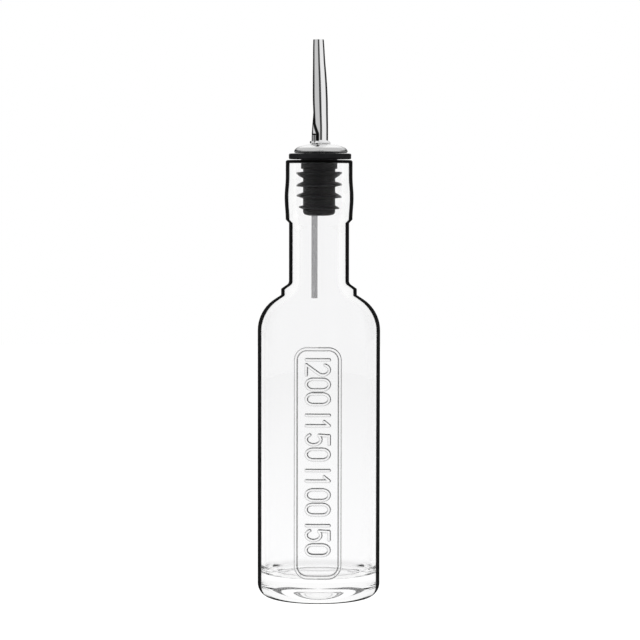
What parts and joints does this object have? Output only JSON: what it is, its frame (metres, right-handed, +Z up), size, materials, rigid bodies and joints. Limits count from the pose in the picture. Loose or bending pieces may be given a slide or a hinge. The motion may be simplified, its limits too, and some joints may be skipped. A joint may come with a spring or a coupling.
{
  "type": "bitters bottle",
  "caption": "Clear round glass bottle, empty, with a steel pouring spout in a finned black rubber stopper and a raised panel frame on its front.",
  "frame": {"origin": "centre of the base, on the surface that the bottle stands on", "axes": "+Z up along the bottle; the front, with the raised panel frame, faces -Y; +X is to the right seen from the front"},
  "size_m": [0.0562, 0.0567, 0.2563],
  "materials": {
    "clear_glass": "clear colourless flint glass, fire polished",
    "black_rubber": "matt moulded black rubber",
    "polished_steel": "polished stainless steel"
  },
  "bodies": {
    "root": {"glass_bottle": "clear_glass", "rubber_stopper": "black_rubber", "steel_dome": "polished_steel", "steel_spout": "polished_steel", "air_tube": "polished_steel"}
  },
  "joints": []
}
